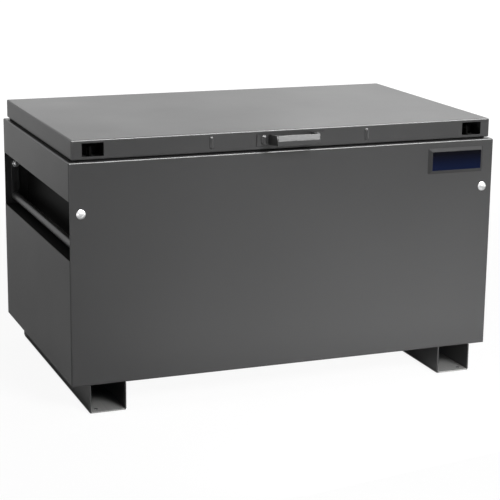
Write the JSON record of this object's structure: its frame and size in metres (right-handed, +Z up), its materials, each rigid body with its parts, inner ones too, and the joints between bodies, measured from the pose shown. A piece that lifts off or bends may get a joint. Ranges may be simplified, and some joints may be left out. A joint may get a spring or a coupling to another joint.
{
  "type": "site storage chest",
  "caption": "Long steel site chest on channel skids, with a hinged tray lid on gas struts, recessed padlock pockets and swinging lift handles.",
  "frame": {"origin": "on the ground, at the middle of the four floor bolt holes in the skids", "axes": "+X along the front from left to right, +Y from front to back, +Z up"},
  "size_m": [1.22, 0.798, 0.728],
  "materials": {
    "chest_paint": "dark grey powder coat, satin, fine texture",
    "recess_paint": "black powder coat, matt",
    "zinc_plate": "bright zinc plating",
    "seal_rubber": "black extruded rubber",
    "nylon": "black moulded nylon",
    "strut_enamel": "black enamel, semi-gloss",
    "rod_chrome": "hard chrome, polished",
    "badge_enamel": "blue-black enamel with a raised border and nothing printed on it"
  },
  "bodies": {
    "chest": {"front_panel": "chest_paint", "back_panel": "chest_paint", "floor_panel": "chest_paint", "left_upper_side": "chest_paint", "right_upper_side": "chest_paint", "left_lower_side": "chest_paint", "right_lower_side": "chest_paint", "left_recess_pan": "recess_paint", "right_recess_pan": "recess_paint", "left_skid": "chest_paint", "right_skid": "chest_paint", "lid_seal": "seal_rubber", "left_lock_staple": "recess_paint", "right_lock_staple": "recess_paint", "badge_plate": "badge_enamel", "pivot_bolts": "zinc_plate", "pivot_spacers": "nylon", "pivot_nuts": "zinc_plate", "hinge_chest_leaf": "chest_paint", "hinge_pin": "zinc_plate", "left_strut_foot": "zinc_plate", "right_strut_foot": "zinc_plate"},
    "left_handle": {"left_handle_grip": "chest_paint", "left_handle_arms": "chest_paint"},
    "right_handle": {"right_handle_grip": "chest_paint", "right_handle_arms": "chest_paint"},
    "lid": {"lid_shell": "chest_paint", "left_stiffener": "chest_paint", "right_stiffener": "chest_paint", "left_lock_pocket": "recess_paint", "right_lock_pocket": "recess_paint", "lid_handle": "chest_paint", "hinge_lid_leaf": "chest_paint", "left_strut_hanger": "zinc_plate", "right_strut_hanger": "zinc_plate"},
    "left_strut_tube": {"left_strut_cylinder": "strut_enamel"},
    "right_strut_tube": {"right_strut_cylinder": "strut_enamel"},
    "left_strut_piston": {"left_strut_rod": "rod_chrome"},
    "right_strut_piston": {"right_strut_rod": "rod_chrome"}
  },
  "joints": [
    {"name": "lid_hinge", "type": "hinge", "parent": "chest", "child": "lid", "pos_m": [0, 0.367, 0.6775], "axis": [-1, 0, 0], "range_deg": [0, 75]},
    {"name": "left_handle_swing", "type": "hinge", "parent": "chest", "child": "left_handle", "pos_m": [-0.579, 0, 0.538], "axis": [0, 1, 0], "range_deg": [0, 115]},
    {"name": "right_handle_swing", "type": "hinge", "parent": "chest", "child": "right_handle", "pos_m": [0.579, 0, 0.538], "axis": [0, -1, 0], "range_deg": [0, 115]},
    {"name": "left_strut_turn", "type": "hinge", "parent": "chest", "child": "left_strut_tube", "pos_m": [-0.52, 0.302, 0.5475], "axis": [-1, 0, 0], "range_deg": [0, 59.95]},
    {"name": "right_strut_turn", "type": "hinge", "parent": "chest", "child": "right_strut_tube", "pos_m": [0.52, 0.302, 0.5475], "axis": [-1, 0, 0], "range_deg": [0, 59.95]},
    {"name": "left_strut_slide", "type": "slide", "parent": "left_strut_tube", "child": "left_strut_piston", "axis": [0, -0.8693, 0.4943], "range_m": [0, 0.14966]},
    {"name": "right_strut_slide", "type": "slide", "parent": "right_strut_tube", "child": "right_strut_piston", "axis": [0, -0.8693, 0.4943], "range_m": [0, 0.14966]}
  ],
  "couplings": [
    {"joint": "left_strut_turn", "follows": "lid_hinge", "ratio": 0.79927},
    {"joint": "right_strut_turn", "follows": "lid_hinge", "ratio": 0.79927},
    {"joint": "left_strut_slide", "follows": "lid_hinge", "m_per_rad": 0.11432},
    {"joint": "right_strut_slide", "follows": "lid_hinge", "m_per_rad": 0.11432}
  ]
}
